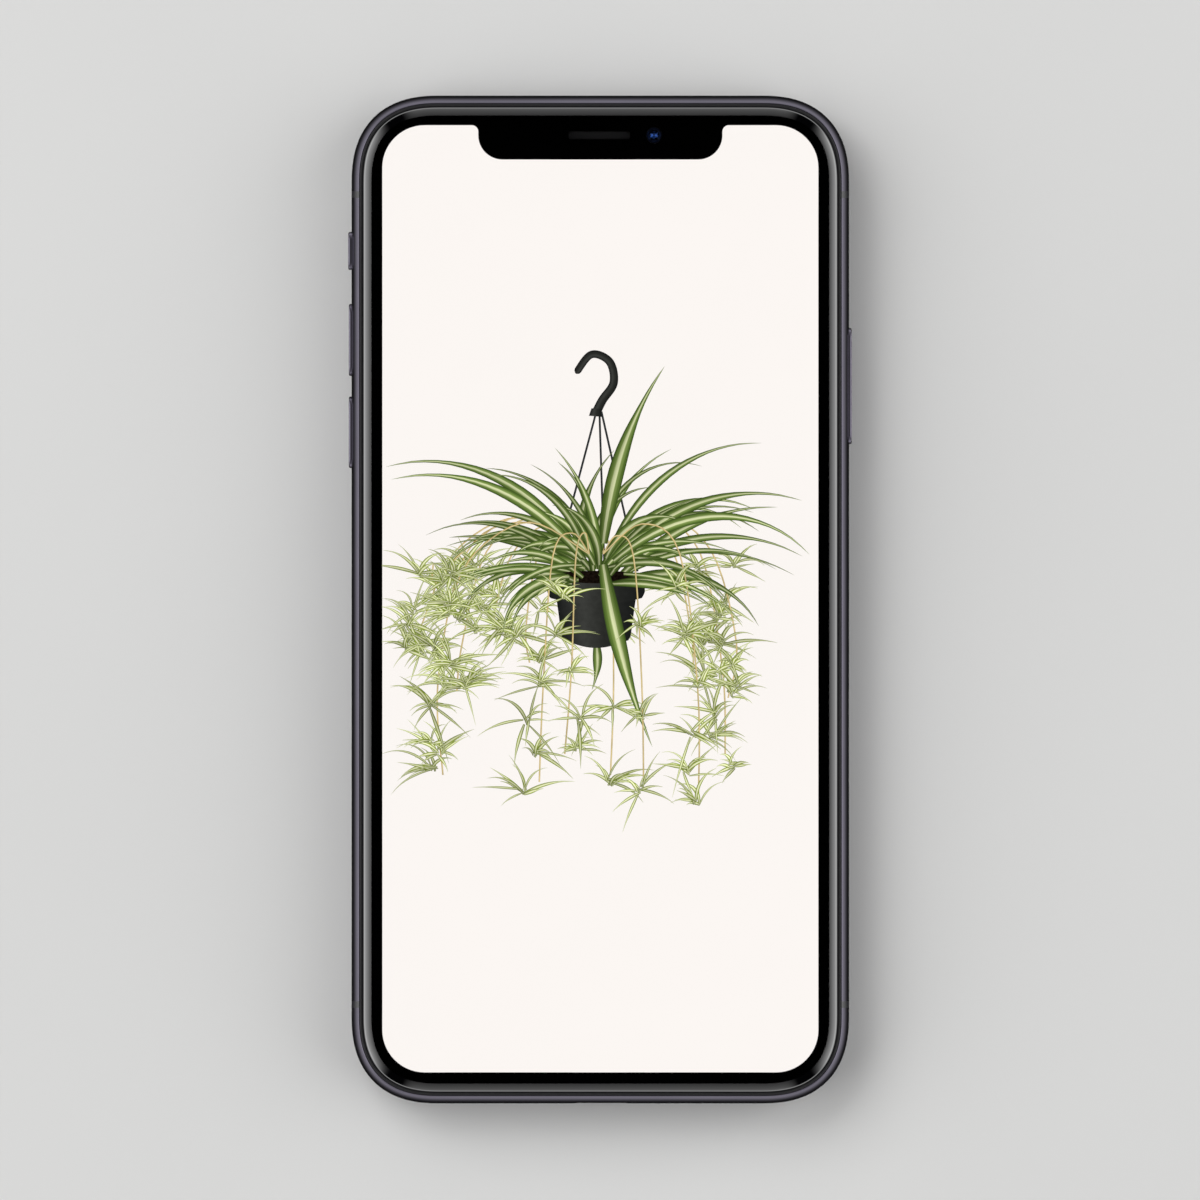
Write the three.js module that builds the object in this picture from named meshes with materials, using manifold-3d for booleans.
// A slab smartphone of the 5.8-inch class, lying on its back with its screen up.
// Units are millimetres. X runs to the right of the screen, Y towards the earpiece and Z out of
// the screen. The origin is the middle of the back glass's flat outer face.
import * as THREE from "three";
import { mergeVertices } from "three/addons/utils/BufferGeometryUtils.js";
import Module from "manifold-3d";

const wasm = await Module();
wasm.setup();

// ---------------------------------------------------------------- driving dimensions

const BODY = { width: 70.9, height: 143.6, thickness: 7.7 };
// Each corner of the outline is a superellipse quarter, a little flatter at its ends than a circle.
const CORNER = { reach: 12.5, power: 2.4, steps: 10 };
const MIDDLE_Z = BODY.thickness / 2;

// The metal band's section. Insets are measured inwards from the outline.
const BAND = {
  flatHalfHeight: 0.6, // the flat strip along the middle of the side
  roundDepth: 2.2, // semi-axes of the elliptic rounding above and below the strip
  roundHeight: 2.88,
  lipInset: 1.05, // where the rounding stops
  lipWidth: 0.12,
  ledgeZ: 5.9, // the ledge that carries the display
  innerInset: 2.6,
  roundSteps: 4,
};
const LIP_COSINE = 1 - BAND.lipInset / BAND.roundDepth;
const LIP_Z = MIDDLE_Z + BAND.flatHalfHeight + BAND.roundHeight * Math.sqrt(1 - LIP_COSINE ** 2);

const SEAM = 0.05; // clearance between stacked pieces
const FIT = 0.1; // clearance round a piece that sits in a hole
const ROOTED = 0.2; // how far a solid runs into the one that it is joined to
const GASKET = { outer: 1.19, inner: 1.6, top: 7.0, shoulder: 6.93, chamfer: 0.12 };
const GLASS = { inset: 1.64, rimDepth: 1.28, rimHeight: 0.65, thickness: 0.95, rimSteps: 4 };
const CARRIER = { inset: 1.7, bottom: BAND.ledgeZ + SEAM, top: 6.7 };

const SCREEN = { width: 62.12, height: 134.93, top: 67.57, cornerRadius: 6.05, panelTop: 6.42 };
const NOTCH = { width: 34.8, depth: 4.89, shoulderRadius: 0.9, cornerRadius: 3.45 };
const EARPIECE = { x: -0.15, y: 66.14, length: 8.9, width: 1.2, meshZ: [6.85, 7.5] };
const FRONT_LENS = {
  x: 7.65, y: 66.14, radius: 1.1, foot: 5.5, top: 6.66, rim: 0.25, dishDepth: 0.21, domeRise: 0.08,
};

const SPLIT = { y: 57.7, width: 0.94 }; // the antenna breaks

// The keys: y is the middle of each, length runs along the side. The flange behind the wall keeps
// a key in.
const KEY = { width: 2.7, stand: 0.38, clearance: 0.1, bevel: 0.2, flangeEdge: 0.5, flangeThickness: 0.5 };
const VOLUME_UP = { y: 36.98, length: 10.26 };
const VOLUME_DOWN = { y: 23.83, length: 10.2 };
const SIDE_KEY = { y: 30.42, length: 16.53 };
const MUTE = { y: 49.66, length: 5.41, width: 2.2, stand: 0.47, flangeEdge: 0.3, travel: 1.0 };
const MUTE_BASE = { length: 8.8, x: [31.5, 32.15], z: [1.95, 5.75] };
const FLEX = {
  x: [31.1, 31.4], z: [2.6, 5.1], leftY: [18, 54], rightY: [21, 40], domeRadius: 1.2, domeTop: 31.95,
};

const TRAY = { y: -19.5, length: 14.6, width: 2.0, wallDepth: 2.4, sunk: 0.04, reach: 18.9 };
const TONGUE = { halfWidth: 6.4, thickness: 0.8, frame: 1.2, pocketHalfWidth: 4.4, pocketEnd: 5.6 };
const EJECT = { offset: -5.6, width: 0.9 };
const READER = { back: 14.6, halfWidth: 7.4, wall: 0.5, sideWall: 0.7, top: 4.8, roomZ: [3.2, 4.45] };

const PORT = { width: 8.4, height: 2.6, wall: 0.3, depth: 6.4, gap: 0.1 };
const PORT_TONGUE = { halfWidth: 3.35, halfThickness: 0.35, length: 6.4, rootDepth: 1.0 };
const OUTLET = { first: 10.4, pitch: 2.4, count: 6, radius: 0.7 };
const SCREW = { x: 7.5, headRadius: 0.75, headDepth: 0.85, shankRadius: 0.5, length: 3.2, sunk: 0.15 };
const CROSS = { halfLength: 0.45, halfWidth: 0.11, depth: 0.35 };

const CAMERA = { x: 23.55, y: 53.2, spread: 6.0, length: 25.4, width: 13.4, wall: 0.8, rise: 1.2, foot: 1.5 };
const CAMERA_EDGE = 0.3; // the bevel round the bezel
const CAMERA_COVER = { z: [-1.1, -0.6] };
const CAMERA_PLATE = { z: [-0.55, -0.25], lensHole: 3.7, flashHole: 1.5 };
const SENSOR = { half: 5.2, corner: 0.8, z: [1.8, 5.1], barrelRadius: 3.6, barrelTop: 2.2 };
// The barrel's outer face as [radius, z], from the lens's dome over the stepped inside to the rim.
const REAR_LENS = [[0, -0.18], [1.4, -0.08], [2.0, 0.0], [2.9, -0.3], [3.2, -0.5], [3.6, -0.5]];
const FLASH = { radius: 1.4, z: [-0.5, 1.2] };
const COIL = { inner: 10, outer: 20.5, holeRadius: 21, z: [0.98, 1.5] };

// What is inside, as plain boxes: corner rounds the outline and edge the rims.
const FLOOR = BODY.thickness - BAND.ledgeZ; // just above the plate that carries the insides
const BOARD_TOP = FLOOR + 0.8;
const INSIDE = {
  display_shield: { x: [-31, 31], y: [-61.5, 57.3], z: [5.3, 5.8], corner: 3 },
  logic_board: { x: [6, 30.9], y: [-29.5, 38.4], z: [FLOOR, BOARD_TOP], corner: 1 },
  board_shield: { x: [7.4, 29.6], y: [-10.2, 36.8], z: [BOARD_TOP + SEAM, 4.7], corner: 0.8, edge: 0.15 },
  battery_main: { x: [-30.4, 4.8], y: [-30, 56.4], z: [FLOOR, 5.2], corner: 2, edge: 0.5 },
  battery_lower: { x: [-30.4, 30.6], y: [-47.2, -31.2], z: [FLOOR, 5.2], corner: 2, edge: 0.5 },
  haptic_motor: { x: [-29.6, -7.4], y: [-61.4, -48.8], z: [FLOOR, 5], corner: 1.2, edge: 0.3 },
  microphone: { x: [-21.2, -9.4], y: [-68.6, -62.6], z: [2.4, 5.1], corner: 0.5 },
};
const EARPIECE_BOX = { x: [-7, 4.8], y: [59, 68.6], z: [2.2, 5.8], corner: 1 };
// Outlines at the lower end, as [x, y, corner radius].
const LOWER_BOARD = {
  thickness: 0.4,
  corners: [[-22, -68.6, 0.5], [6.2, -68.6, 0.5], [6.2, -48.8, 0.5],
    [-6.2, -48.8, 0.5], [-6.2, -62.4, 0.5], [-22, -62.4, 0.5]],
};
const SPEAKER = {
  top: 5.1, edge: 0.3, front: -68.4, mouthX: [9.6, 21.4], mouthZ: [3.1, 4.6], mouthDepth: 0.8,
  corners: [[9, -68.4, 1], [22, -68.4, 1], [30.6, -60, 2], [30.6, -48.8, 1], [7.4, -48.8, 1], [7.4, -62, 1]],
};
const DEPTH_CAMERA_X = -13.2;
const DOT_PROJECTOR_X = 13.8;
const FACE_SENSOR = { half: 2.4, halfHeight: 2.5, z: [2.5, 5.2], windowRadius: 1.5, windowTop: 5.85 };

// ---------------------------------------------------------------- materials

const finish = (color, roughness, metalness = 0, more = {}) =>
  new THREE.MeshStandardMaterial({ color, roughness, metalness, ...more });
const MATERIALS = {
  band: finish(0x4a484f, 0.25, 1),
  key: finish(0x514f57, 0.25, 1),
  breakPlastic: finish(0x2b2a30, 0.45),
  gasket: finish(0x1b1b1d, 0.6),
  frontGlass: finish(0x9aa3a8, 0.03, 0, { transparent: true, opacity: 0.25 }),
  rearGlass: finish(0x26262a, 0.08),
  screen: finish(0xfcf7f3, 0.2),
  carrier: finish(0x050506, 0.3),
  sheetSteel: finish(0x8e9094, 0.35, 1),
  aluminium: finish(0x9b9da1, 0.5, 1),
  mesh: finish(0x1a1a1b, 0.5, 0.6),
  lens: finish(0x0a1230, 0.05),
  moduleBlack: finish(0x141416, 0.5),
  board: finish(0x14331f, 0.45),
  pouch: finish(0x17181a, 0.4),
  copper: finish(0xb06a3c, 0.35, 1),
  flex: finish(0x8a5a1e, 0.5),
  diffuser: finish(0xe9e4d2, 0.4),
  signal: finish(0xd8541c, 0.5),
};

// ---------------------------------------------------------------- outlines, as lists of points

const vector = (x, y) => new THREE.Vector2(x, y);

// The body's outline, inwards by inset along its normals, anticlockwise from the right side.
function bodyOutline(inset) {
  const { reach, power, steps } = CORNER;
  const middle = vector(BODY.width / 2 - reach, BODY.height / 2 - reach);
  const points = [];
  for (const [sx, sy] of [[1, 1], [-1, 1], [-1, -1], [1, -1]]) {
    for (let i = 0; i <= steps; i++) {
      const turn = (sx * sy > 0 ? i : steps - i) / steps;
      const c = Math.cos((turn * Math.PI) / 2);
      const s = turn === 1 ? 1 : Math.sin((turn * Math.PI) / 2);
      const [across, along] = turn === 1 ? [0, 1] : [c, s];
      const normal = vector(across ** (2 - 2 / power), along ** (2 - 2 / power)).normalize();
      points.push(vector(
        sx * (middle.x + reach * across ** (2 / power) - inset * normal.x),
        sy * (middle.y + reach * along ** (2 / power) - inset * normal.y),
      ));
    }
  }
  return points;
}

// A shape with straight sides and round corners. corners: [x, y, radius], anticlockwise; a corner
// that turns the other way is rounded too.
function roundedShape(corners, arcSteps) {
  const points = [];
  corners.forEach(([x, y, radius], k) => {
    const here = vector(x, y);
    const before = corners[(k + corners.length - 1) % corners.length];
    const after = corners[(k + 1) % corners.length];
    const back = vector(before[0] - x, before[1] - y).normalize();
    const on = vector(after[0] - x, after[1] - y).normalize();
    if (!radius) {
      points.push(here);
      return;
    }
    const halfAngle = Math.acos(THREE.MathUtils.clamp(back.dot(on), -1, 1)) / 2;
    const inwards = back.clone().add(on).normalize();
    const centre = here.clone().addScaledVector(inwards, radius / Math.sin(halfAngle));
    const start = here.clone().addScaledVector(back, radius / Math.tan(halfAngle)).sub(centre);
    const turn = Math.sign(back.x * on.y - back.y * on.x) * -(Math.PI - 2 * halfAngle);
    for (let i = 0; i <= arcSteps; i++) {
      points.push(start.clone().rotateAround(vector(0, 0), (turn * i) / arcSteps).add(centre));
    }
  });
  // Where two arcs meet with no straight side between them, their shared end is kept once.
  const distinct = points.filter((p, k) => p.distanceTo(points[(k + 1) % points.length]) > 1e-3);
  return new THREE.Shape(distinct);
}

function roundedBox([x0, x1], [y0, y1], radius, arcSteps = 4) {
  return roundedShape([[x0, y0, radius], [x1, y0, radius], [x1, y1, radius], [x0, y1, radius]], arcSteps);
}

// A box with fully round ends, in a chosen size along the first and the second axis.
function pill(across, up, x = 0, y = 0, arcSteps = 6) {
  const [hx, hy] = [across / 2, up / 2];
  return roundedBox([x - hx, x + hx], [y - hy, y + hy], Math.min(hx, hy), arcSteps);
}

// The lit area: round corners and the notch that hangs from its top edge. grow moves it outwards.
function screenShape(grow = 0) {
  const right = SCREEN.width / 2 + grow;
  const top = SCREEN.top + grow;
  const bottom = SCREEN.top - SCREEN.height - grow;
  const notch = NOTCH.width / 2 - grow;
  const floor = SCREEN.top - NOTCH.depth + grow;
  const r = SCREEN.cornerRadius + grow;
  const shoulder = NOTCH.shoulderRadius + grow;
  const inner = NOTCH.cornerRadius - grow;
  return roundedShape([
    [right, bottom, r], [right, top, r],
    [notch, top, shoulder], [notch, floor, inner], [-notch, floor, inner], [-notch, top, shoulder],
    [-right, top, r], [-right, bottom, r],
  ], 8);
}

// ---------------------------------------------------------------- solids

const geometryOf = (positions, index) =>
  new THREE.BufferGeometry()
    .setAttribute("position", new THREE.BufferAttribute(new Float32Array(positions), 3))
    .setIndex(index);

function solidOf(geometry) {
  const loose = geometry.index ? geometry.toNonIndexed() : geometry;
  const merged = mergeVertices(
    new THREE.BufferGeometry().setAttribute("position", loose.getAttribute("position")), 1e-4);
  const { array } = merged.index;
  const triangles = [];
  for (let i = 0; i < array.length; i += 3) {
    const [a, b, c] = array.subarray(i, i + 3);
    if (a !== b && b !== c && c !== a) triangles.push(a, b, c);
  }
  return new wasm.Manifold(new wasm.Mesh({
    numProp: 3,
    vertProperties: merged.getAttribute("position").array,
    triVerts: new Uint32Array(triangles),
  }));
}

function meshOf(solid) {
  const { numProp, numVert, vertProperties, triVerts } = solid.getMesh();
  const positions = [];
  for (let i = 0; i < numVert; i++) positions.push(...vertProperties.subarray(i * numProp, i * numProp + 3));
  return geometryOf(positions, [...triVerts]);
}

const cut = (solid, ...tools) => tools.reduce((left, tool) => left.subtract(tool), solid);
const join = (first, ...others) => others.reduce((all, other) => all.add(other), first);

function block([x0, x1], [y0, y1], [z0, z1]) {
  const geometry = new THREE.BoxGeometry(x1 - x0, y1 - y0, z1 - z0);
  return solidOf(geometry.translate((x0 + x1) / 2, (y0 + y1) / 2, (z0 + z1) / 2));
}

// A shape drawn in XY and raised from z0 to z1. edge rounds its rims by a bevel of that size.
function plate(shape, z0, z1, edge = 0) {
  const geometry = new THREE.ExtrudeGeometry(shape, {
    depth: z1 - z0 - 2 * edge,
    bevelEnabled: edge > 0,
    bevelThickness: edge,
    bevelSize: edge,
    bevelOffset: -edge,
    bevelSegments: 2,
  });
  return solidOf(geometry.translate(0, 0, z0 + edge));
}

// A shape drawn in YZ and raised from x0 to x1.
function sidePlate(shape, x0, x1, edge = 0) {
  const turn = new THREE.Matrix4().makeBasis(
    new THREE.Vector3(0, 1, 0), new THREE.Vector3(0, 0, 1), new THREE.Vector3(1, 0, 0));
  return solidOf(meshOf(plate(shape, x0, x1, edge)).applyMatrix4(turn));
}

// A shape drawn in XZ and raised along Y from y0 to y1.
function endPlate(shape, y0, y1) {
  const turn = new THREE.Matrix4().makeBasis(
    new THREE.Vector3(1, 0, 0), new THREE.Vector3(0, 0, 1), new THREE.Vector3(0, -1, 0));
  return solidOf(meshOf(plate(shape, -y1, -y0)).applyMatrix4(turn));
}

// A turned solid on an upright axis. profile: [radius, z], from the axis at the foot to the axis
// at the top, or a closed ring.
function turned(profile, x, y, sides = 20) {
  const points = profile.map(([radius, z]) => vector(radius, z));
  const geometry = new THREE.LatheGeometry(points, sides);
  return solidOf(geometry.rotateX(Math.PI / 2).translate(x, y, 0));
}

const disc = (x, y, radius, [z0, z1], sides = 20) =>
  turned([[0, z0], [radius, z0], [radius, z1], [0, z1]], x, y, sides);

// Rings on the body's outline, one for each [inset, z], with the faces between each and the next.
function loft(levels, closed) {
  const rings = levels.map(([inset, z]) => bodyOutline(inset).map((p) => [p.x, p.y, z]));
  const count = rings[0].length;
  const index = [];
  const bands = closed ? rings.length : rings.length - 1;
  for (let j = 0; j < bands; j++) {
    const [here, next] = [j * count, ((j + 1) % rings.length) * count];
    for (let i = 0; i < count; i++) {
      const after = (i + 1) % count;
      index.push(here + i, here + after, next + after);
      index.push(here + i, next + after, next + i);
    }
  }
  return { positions: rings.flat(2), index, lastRing: (rings.length - 1) * count };
}

// A closed section, [inset, z] with its outer side going up, carried round the body's outline.
function bandRing(section) {
  const { positions, index } = loft(section, true);
  return solidOf(geometryOf(positions, index));
}

// A slab on the body's outline. levels: [inset, z], from the bottom up.
function slab(levels) {
  const { positions, index, lastRing } = loft(levels, false);
  const cap = THREE.ShapeUtils.triangulateShape(bodyOutline(levels[0][0]), []);
  for (const [a, b, c] of cap) index.push(a, c, b, lastRing + a, lastRing + b, lastRing + c);
  return solidOf(geometryOf(positions, index));
}

// The same levels or section, turned over from the front of the body to its back.
const turnedOver = (levels) => levels.map(([inset, z]) => [inset, BODY.thickness - z]).reverse();

// ---------------------------------------------------------------- the enclosure

// The rounding from the flat strip to the lip, for the front half.
function bandRounding() {
  const last = Math.acos(LIP_COSINE);
  return Array.from({ length: BAND.roundSteps + 1 }, (_, i) => {
    const angle = (last * i) / BAND.roundSteps;
    return [
      BAND.roundDepth * (1 - Math.cos(angle)),
      MIDDLE_Z + BAND.flatHalfHeight + BAND.roundHeight * Math.sin(angle),
    ];
  });
}

function wholeBand() {
  const rabbet = BAND.lipInset + BAND.lipWidth;
  const front = [...bandRounding(), [rabbet, LIP_Z], [rabbet, BAND.ledgeZ], [BAND.innerInset, BAND.ledgeZ]];
  return bandRing([...turnedOver(front), ...front]);
}

const REACH = 100; // further than any side of the body
const THROUGH = [-5, 12]; // from below the body to above it
const WALL = [BODY.width / 2 - BAND.innerInset - 1, BODY.width / 2 + 1]; // past both faces of a side wall
const halfSplit = SPLIT.width / 2;

const keepBox = (band, x, y) => band.intersect(block(x, y, THROUGH));
const bySide = (side, [near, far]) => (side > 0 ? [near, far] : [-far, -near]);

// A key's slot through the side wall, for a key of that length and width. play lengthens the slot
// across the thickness, for a key that slides that way.
function keySlot(side, y, length, width, play = 0) {
  const halfLength = length / 2 + KEY.clearance;
  const radius = width / 2 + KEY.clearance;
  const halfWidth = radius + play / 2;
  const shape = roundedBox(
    [y - halfLength, y + halfLength], [MIDDLE_Z - halfWidth, MIDDLE_Z + halfWidth], radius, 6);
  return sidePlate(shape, ...bySide(side, WALL));
}

function frameSide(band, side, ...slots) {
  return cut(keepBox(band, bySide(side, [0, REACH]), [halfSplit - SPLIT.y, SPLIT.y - halfSplit]), ...slots);
}

const frameLeft = (band) => frameSide(band, -1,
  keySlot(-1, VOLUME_UP.y, VOLUME_UP.length, KEY.width),
  keySlot(-1, VOLUME_DOWN.y, VOLUME_DOWN.length, KEY.width),
  keySlot(-1, MUTE.y, MUTE.length, MUTE.width, MUTE.travel));

const frameRight = (band) => frameSide(band, 1,
  keySlot(1, SIDE_KEY.y, SIDE_KEY.length, KEY.width),
  keySlot(1, TRAY.y, TRAY.length, TRAY.width));

// A round hole or pin along Y, at mid thickness.
function alongY(x, radius, y0, y1, sides) {
  const geometry = new THREE.CylinderGeometry(radius, radius, y1 - y0, sides);
  return solidOf(geometry.translate(x, (y0 + y1) / 2, MIDDLE_Z));
}

const END = -BODY.height / 2; // the outer face of the bottom

function frameBottom(band) {
  const [out, inside] = [END - 1, END + BAND.innerInset + 0.6];
  const places = Array.from({ length: OUTLET.count }, (_, i) => OUTLET.first + i * OUTLET.pitch);
  const holes = [-1, 1].flatMap((side) => [
    ...places.map((x) => alongY(side * x, OUTLET.radius, out, inside, 10)),
    alongY(side * SCREW.x, SCREW.headRadius + FIT, out, END + SCREW.sunk + SCREW.headDepth + FIT, 12),
    alongY(side * SCREW.x, SCREW.shankRadius + FIT, out, inside, 12),
  ]);
  const mouth = endPlate(pill(PORT.width, PORT.height, 0, MIDDLE_Z), out, inside);
  return cut(keepBox(band, [-REACH, REACH], [-REACH, -SPLIT.y - halfSplit]), mouth, ...holes);
}

const frameTop = (band) => keepBox(band, [-REACH, REACH], [SPLIT.y + halfSplit, REACH]);

const antennaBreak = (band, side, end) =>
  keepBox(band, bySide(side, [0, REACH]), [end * SPLIT.y - halfSplit, end * SPLIT.y + halfSplit]);

// A rubbery ring between the band's lip and the edge of the glass, a little above the lip.
const GASKET_SECTION = [
  [GASKET.outer, CARRIER.bottom],
  [GASKET.outer, GASKET.shoulder],
  [GASKET.outer + GASKET.chamfer, GASKET.top],
  [GASKET.inner, GASKET.top],
  [GASKET.inner, CARRIER.bottom],
];

// The cover glass: a straight foot, then a rim that curves over to the flat face.
function glassLevels() {
  const foot = BODY.thickness - GLASS.thickness;
  const rimFoot = BODY.thickness - GLASS.rimHeight;
  const rim = Array.from({ length: GLASS.rimSteps + 1 }, (_, i) => {
    const angle = (i / GLASS.rimSteps) * (Math.PI / 2);
    return [
      GLASS.inset + GLASS.rimDepth * (1 - Math.cos(angle)),
      rimFoot + GLASS.rimHeight * Math.sin(angle),
    ];
  });
  return [[GLASS.inset, foot], ...rim];
}

const cameraPill = (shrink) =>
  pill(CAMERA.width - 2 * shrink, CAMERA.length - 2 * shrink, CAMERA.x, CAMERA.y, 8);

const earpiecePill = (grow) =>
  pill(EARPIECE.length + 2 * grow, EARPIECE.width + 2 * grow, EARPIECE.x, EARPIECE.y);

const frontGlass = () => cut(slab(glassLevels()), plate(earpiecePill(0), ...THROUGH));
const rearGlass = () => cut(slab(turnedOver(glassLevels())), plate(cameraPill(-FIT), ...THROUGH));

// The plate that the insides are fixed to, with a round hole for the coil and one for the cameras.
function midplate() {
  const levels = [[CARRIER.inset, GLASS.thickness + SEAM], [CARRIER.inset, FLOOR - SEAM]];
  return cut(slab(levels), disc(0, 0, COIL.holeRadius, THROUGH, 28), plate(cameraPill(-FIT), ...THROUGH));
}

// ---------------------------------------------------------------- the display

function displayCarrier() {
  return cut(slab([[CARRIER.inset, CARRIER.bottom], [CARRIER.inset, CARRIER.top]]),
    plate(screenShape(SEAM), ...THROUGH),
    plate(earpiecePill(2 * FIT), ...THROUGH),
    disc(FRONT_LENS.x, FRONT_LENS.y, FRONT_LENS.radius + FIT, THROUGH));
}

const displayPanel = () => plate(screenShape(), CARRIER.bottom, SCREEN.panelTop);
const earpieceMesh = () => plate(earpiecePill(-FIT), ...EARPIECE.meshZ);

// A plain inner box with round corners.
const boxed = ({ x, y, z, corner, edge }) => plate(roundedBox(x, y, corner), ...z, edge);

function earpieceSpeaker() {
  const spout = plate(earpiecePill(-FIT), EARPIECE_BOX.z[1] - ROOTED, CARRIER.top);
  return join(boxed(EARPIECE_BOX), spout);
}

// A square box about a point of the notch, for what looks out there.
const notchBox = (x, half, z) =>
  plate(roundedBox([x - half, x + half], [EARPIECE.y - FACE_SENSOR.halfHeight,
    EARPIECE.y + FACE_SENSOR.halfHeight], 0.5), ...z);

function frontCamera() {
  const { x, y, radius, foot, top, rim, dishDepth, domeRise } = FRONT_LENS;
  const barrel = turned([
    [0, foot], [radius, foot], [radius, top], [radius - rim, top],
    [radius - 1.4 * rim, top - dishDepth], [rim, top - domeRise], [0, top - domeRise / 2],
  ], x, y);
  return join(notchBox(x, FACE_SENSOR.halfHeight, [FACE_SENSOR.z[0], foot + ROOTED]), barrel);
}

// The depth sensors of the notch, which look out through the black border.
const faceSensor = (x) => join(
  notchBox(x, FACE_SENSOR.half, FACE_SENSOR.z),
  disc(x, EARPIECE.y, FACE_SENSOR.windowRadius, [FACE_SENSOR.z[1] - ROOTED, FACE_SENSOR.windowTop]));

// ---------------------------------------------------------------- the rear camera

function cameraBezel() {
  const outer = plate(cameraPill(0), -CAMERA.rise, CAMERA.foot, CAMERA_EDGE);
  return cut(outer, plate(cameraPill(CAMERA.wall), ...THROUGH));
}

const insideBezel = (z) => plate(cameraPill(CAMERA.wall + FIT), ...z);
const cameraCover = () => insideBezel(CAMERA_COVER.z);

function cameraPlate() {
  const lensHoles = [-1, 1].map((end) =>
    disc(CAMERA.x, CAMERA.y + end * CAMERA.spread, CAMERA_PLATE.lensHole, THROUGH));
  const flashHole = disc(CAMERA.x, CAMERA.y, CAMERA_PLATE.flashHole, THROUGH);
  return cut(insideBezel(CAMERA_PLATE.z), ...lensHoles, flashHole);
}

// A lens barrel that looks out of the back, on its sensor housing.
function rearCamera(y) {
  const { half, corner, z, barrelRadius, barrelTop } = SENSOR;
  const barrel = turned([...REAR_LENS, [barrelRadius, barrelTop], [0, barrelTop]], CAMERA.x, y, 24);
  const outline = roundedBox([CAMERA.x - half, CAMERA.x + half], [y - half, y + half], corner);
  return join(plate(outline, ...z), barrel);
}

const flash = () => disc(CAMERA.x, CAMERA.y, FLASH.radius, FLASH.z);

// ---------------------------------------------------------------- keys, switch and tray

// A key that stands out of the right side, about its own middle; it is turned half round for the
// left side.
function key({ length }, width = KEY.width, stand = KEY.stand, edge = KEY.flangeEdge) {
  const wallIn = BODY.width / 2 - BAND.innerInset;
  const flangeTop = wallIn - KEY.clearance;
  const cap = sidePlate(pill(length, width), flangeTop - ROOTED, BODY.width / 2 + stand, KEY.bevel);
  const flange = sidePlate(
    pill(length + 2 * edge, width + 2 * edge), flangeTop - KEY.flangeThickness, flangeTop);
  return join(cap, flange);
}

function simTray() {
  const face = BODY.width / 2 - TRAY.sunk;
  const root = face - TRAY.wallDepth;
  const { y } = TRAY;
  const { halfWidth, thickness, pocketHalfWidth } = TONGUE;
  const front = sidePlate(pill(TRAY.length, TRAY.width, y, MIDDLE_Z), root, face);
  const tongue = block([face - TRAY.reach, root + ROOTED], [y - halfWidth, y + halfWidth],
    [MIDDLE_Z - thickness / 2, MIDDLE_Z + thickness / 2]);
  const pocket = plate(roundedBox([face - TRAY.reach + TONGUE.frame, face - TONGUE.pocketEnd],
    [y - pocketHalfWidth, y + pocketHalfWidth], 0.4), ...THROUGH);
  const hole = sidePlate(pill(EJECT.width, EJECT.width, y + EJECT.offset, MIDDLE_Z, 3), root - 0.1, face + 1);
  return cut(join(front, tongue), pocket, hole);
}

function simReader() {
  const mouth = BODY.width / 2 - BAND.innerInset - FIT;
  const { back, halfWidth, wall, sideWall, top, roomZ } = READER;
  const [y0, y1] = [TRAY.y - halfWidth, TRAY.y + halfWidth];
  return cut(block([back, mouth], [y0, y1], [BOARD_TOP + SEAM, top]),
    block([back + wall, mouth + 1], [y0 + sideWall, y1 - sideWall], roomZ));
}

// A flexible strip on the inner side of the right wall, with a round switch behind each key.
function keyFlex(yRange, places) {
  const { x, z, domeRadius, domeTop } = FLEX;
  const domes = places.map((y) =>
    sidePlate(pill(2 * domeRadius, 2 * domeRadius, y, MIDDLE_Z, 3), x[1] - ROOTED, domeTop));
  return join(block(x, yRange, z), ...domes);
}

// The fixed plate that the mute switch slides over; it shows in the slot beside the switch.
const muteBase = () =>
  block(MUTE_BASE.x, [-MUTE.y - MUTE_BASE.length / 2, -MUTE.y + MUTE_BASE.length / 2], MUTE_BASE.z);

// ---------------------------------------------------------------- what else is at the lower end

// A thin board under the port, with an arm to the microphone.
const lowerBoard = () =>
  plate(roundedShape(LOWER_BOARD.corners, 3), FLOOR, FLOOR + LOWER_BOARD.thickness);

// A box cut to the body's corner, with its mouth behind the outlets of the right.
function loudspeaker() {
  const { top, edge, front, mouthX, mouthZ, mouthDepth, corners } = SPEAKER;
  const mouth = block(mouthX, [front - 1, front + mouthDepth], mouthZ);
  return cut(plate(roundedShape(corners, 4), FLOOR, top, edge), mouth);
}

const chargingCoil = () => turned([
  [COIL.inner, COIL.z[0]], [COIL.outer, COIL.z[0]], [COIL.outer, COIL.z[1]],
  [COIL.inner, COIL.z[1]], [COIL.inner, COIL.z[0]],
], 0, 0, 40);

const PORT_MOUTH = END + BAND.innerInset + PORT.gap;
const PORT_BACK = PORT_MOUTH + PORT.depth - PORT.wall; // the inner face of the back wall
const portPill = (grow) => pill(PORT.width + 2 * grow, PORT.height + 2 * grow, 0, MIDDLE_Z);

const portShell = () => cut(endPlate(portPill(PORT.wall), PORT_MOUTH, PORT_MOUTH + PORT.depth),
  endPlate(portPill(0), PORT_MOUTH - 1, PORT_BACK));

function portTongue() {
  const { halfWidth, halfThickness, length, rootDepth } = PORT_TONGUE;
  const root = endPlate(portPill(-FIT), PORT_BACK - FIT - rootDepth, PORT_BACK - FIT);
  return join(root, block([-halfWidth, halfWidth], [PORT_BACK - length, PORT_BACK - rootDepth],
    [MIDDLE_Z - halfThickness, MIDDLE_Z + halfThickness]));
}

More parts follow.
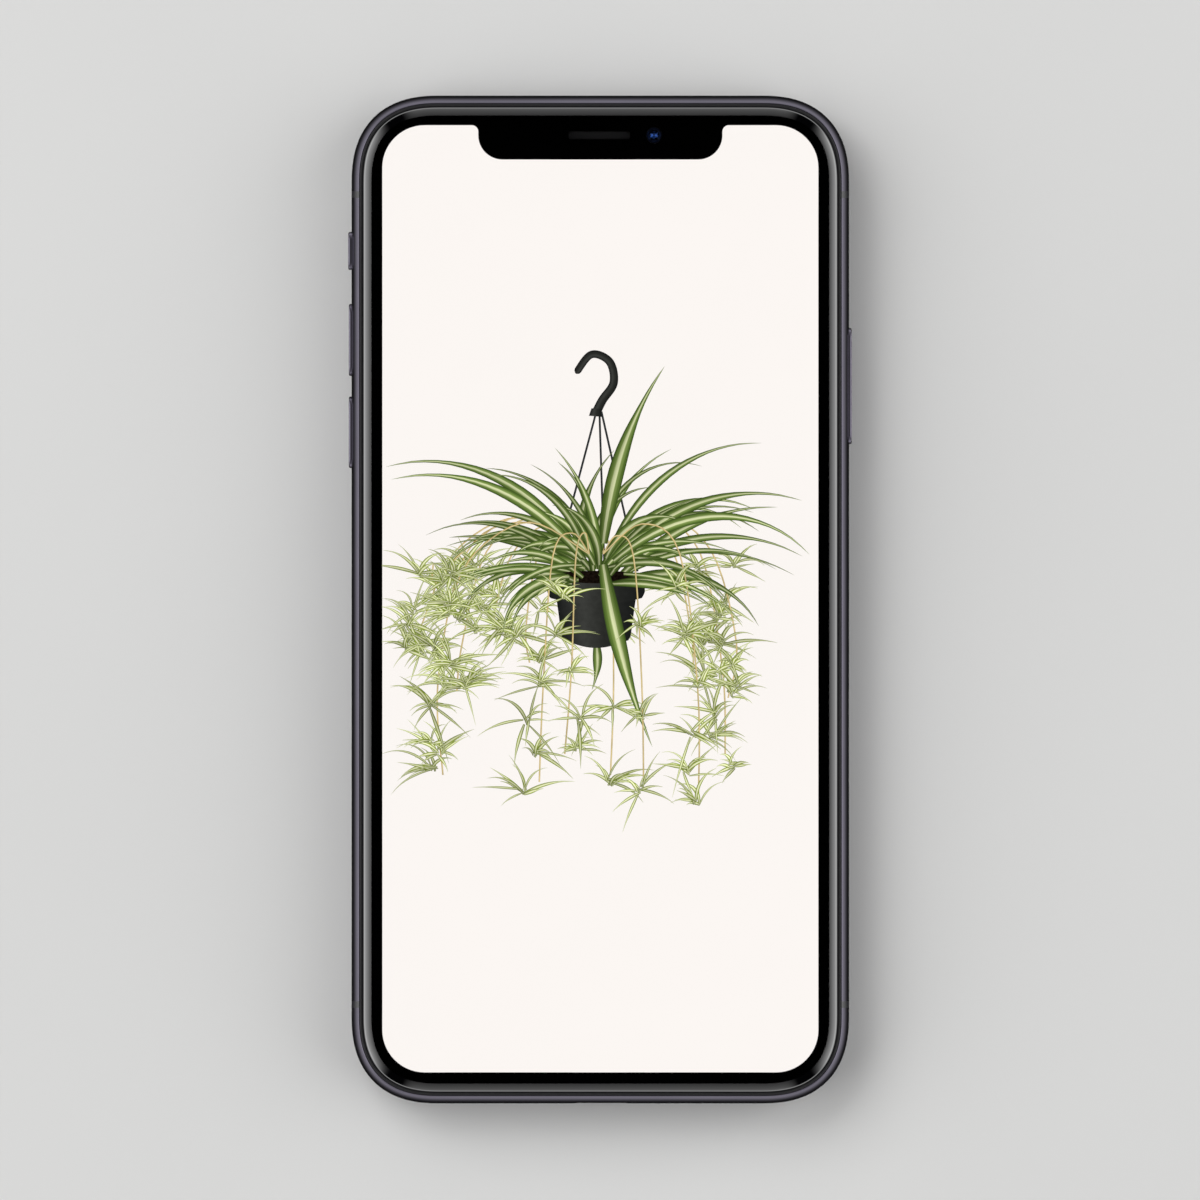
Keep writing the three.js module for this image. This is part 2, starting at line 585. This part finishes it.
// A screw with a cross recess, sunk in the bottom.
function endScrew(x) {
  const face = END + SCREW.sunk;
  const head = alongY(x, SCREW.headRadius, face, face + SCREW.headDepth, 12);
  const shank = alongY(x, SCREW.shankRadius, face + SCREW.headDepth / 2, face + SCREW.length, 12);
  const slot = (halfX, halfZ) => block(
    [x - halfX, x + halfX], [face - 1, face + CROSS.depth], [MIDDLE_Z - halfZ, MIDDLE_Z + halfZ]);
  const recess = join(slot(CROSS.halfLength, CROSS.halfWidth), slot(CROSS.halfWidth, CROSS.halfLength));
  return cut(join(head, shank), recess);
}

// ---------------------------------------------------------------- the assembly

const phone = new THREE.Group();

function add(name, solid, material, place = {}) {
  const mesh = new THREE.Mesh(meshOf(solid), material);
  mesh.name = name;
  mesh.position.set(place.x ?? 0, place.y ?? 0, place.z ?? 0);
  mesh.rotation.z = place.turn ?? 0;
  phone.add(mesh);
}

const band = wholeBand();
add("frame_top", frameTop(band), MATERIALS.band);
add("frame_bottom", frameBottom(band), MATERIALS.band);
add("frame_left", frameLeft(band), MATERIALS.band);
add("frame_right", frameRight(band), MATERIALS.band);
for (const [sideName, side] of [["left", -1], ["right", 1]]) {
  add("antenna_break_upper_" + sideName, antennaBreak(band, side, 1), MATERIALS.breakPlastic);
  add("antenna_break_lower_" + sideName, antennaBreak(band, side, -1), MATERIALS.breakPlastic);
}
add("front_gasket", bandRing(GASKET_SECTION), MATERIALS.gasket);
add("rear_gasket", bandRing(turnedOver(GASKET_SECTION)), MATERIALS.gasket);
add("front_glass", frontGlass(), MATERIALS.frontGlass);
add("rear_glass", rearGlass(), MATERIALS.rearGlass);
add("midplate", midplate(), MATERIALS.aluminium);

add("display_carrier", displayCarrier(), MATERIALS.carrier);
add("display_panel", displayPanel(), MATERIALS.screen);
add("earpiece_mesh", earpieceMesh(), MATERIALS.mesh);
add("earpiece_speaker", earpieceSpeaker(), MATERIALS.moduleBlack);
add("front_camera", frontCamera(), MATERIALS.lens);
add("depth_camera", faceSensor(DEPTH_CAMERA_X), MATERIALS.moduleBlack);
add("dot_projector", faceSensor(DOT_PROJECTOR_X), MATERIALS.moduleBlack);

add("camera_bezel", cameraBezel(), MATERIALS.band);
add("camera_cover", cameraCover(), MATERIALS.frontGlass);
add("camera_plate", cameraPlate(), MATERIALS.carrier);
add("rear_camera_upper", rearCamera(CAMERA.y + CAMERA.spread), MATERIALS.lens);
add("rear_camera_lower", rearCamera(CAMERA.y - CAMERA.spread), MATERIALS.lens);
add("flash", flash(), MATERIALS.diffuser);

const LEFT = Math.PI;
add("volume_up_key", key(VOLUME_UP), MATERIALS.key, { y: VOLUME_UP.y, z: MIDDLE_Z, turn: LEFT });
add("volume_down_key", key(VOLUME_DOWN), MATERIALS.key, { y: VOLUME_DOWN.y, z: MIDDLE_Z, turn: LEFT });
add("mute_switch", key(MUTE, MUTE.width, MUTE.stand, MUTE.flangeEdge), MATERIALS.key,
  { y: MUTE.y, z: MIDDLE_Z + MUTE.travel / 2, turn: LEFT });
add("side_key", key(SIDE_KEY), MATERIALS.key, { y: SIDE_KEY.y, z: MIDDLE_Z });
add("mute_base", muteBase(), MATERIALS.signal, { turn: LEFT });
add("volume_flex", keyFlex([-FLEX.leftY[1], -FLEX.leftY[0]], [-VOLUME_UP.y, -VOLUME_DOWN.y]),
  MATERIALS.flex, { turn: LEFT });
add("side_flex", keyFlex(FLEX.rightY, [SIDE_KEY.y]), MATERIALS.flex);
add("sim_tray", simTray(), MATERIALS.key);
add("sim_reader", simReader(), MATERIALS.sheetSteel);

const INSIDE_MATERIALS = {
  display_shield: MATERIALS.sheetSteel,
  logic_board: MATERIALS.board,
  board_shield: MATERIALS.sheetSteel,
  battery_main: MATERIALS.pouch,
  battery_lower: MATERIALS.pouch,
  haptic_motor: MATERIALS.sheetSteel,
  microphone: MATERIALS.moduleBlack,
};
for (const [name, shape] of Object.entries(INSIDE)) add(name, boxed(shape), INSIDE_MATERIALS[name]);

add("charging_coil", chargingCoil(), MATERIALS.copper);
add("loudspeaker", loudspeaker(), MATERIALS.moduleBlack);
add("lower_board", lowerBoard(), MATERIALS.board);
add("port_shell", portShell(), MATERIALS.sheetSteel);
add("port_tongue", portTongue(), MATERIALS.moduleBlack);
add("end_screw_left", endScrew(-SCREW.x), MATERIALS.sheetSteel);
add("end_screw_right", endScrew(SCREW.x), MATERIALS.sheetSteel);

export default phone;
